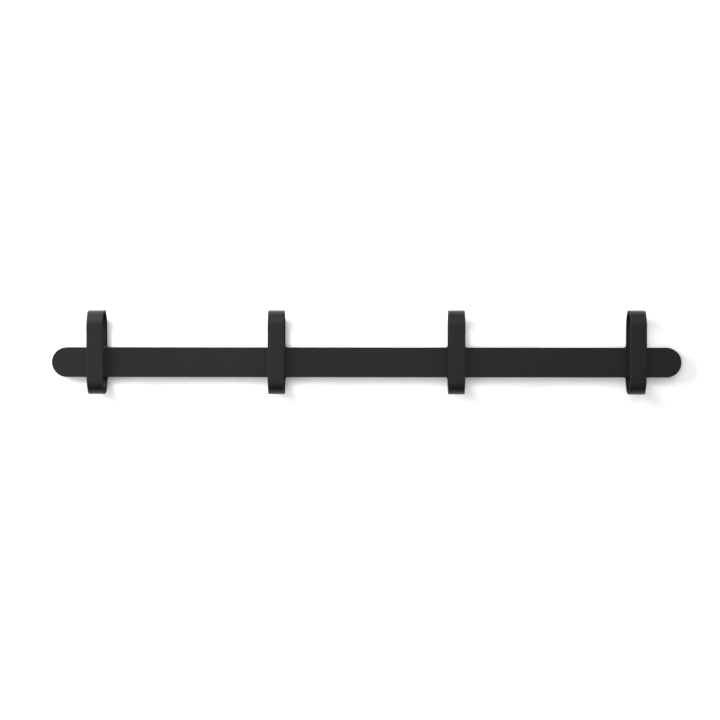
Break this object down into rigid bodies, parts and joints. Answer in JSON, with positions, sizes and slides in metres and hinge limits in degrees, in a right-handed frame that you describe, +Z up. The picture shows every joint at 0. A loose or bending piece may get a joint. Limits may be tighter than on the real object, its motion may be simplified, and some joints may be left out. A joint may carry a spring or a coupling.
{
  "type": "coat hook rail",
  "caption": "Flat wall rail with round ends and closed upright oblong loops of flat strip standing out from it, for hanging coats and bags.",
  "frame": {"origin": "on the wall plane, midway between the middles of the two keyholes' head holes", "axes": "+X along the rail to the right as seen from the room, +Y into the wall, +Z up; the front faces -Y"},
  "size_m": [0.7, 0.045, 0.092],
  "materials": {
    "black_coat": "fine satin black powder coat"
  },
  "bodies": {
    "root": {"rail": "black_coat", "left_end_loop": "black_coat", "left_middle_loop": "black_coat", "right_middle_loop": "black_coat", "right_end_loop": "black_coat"}
  },
  "joints": []
}
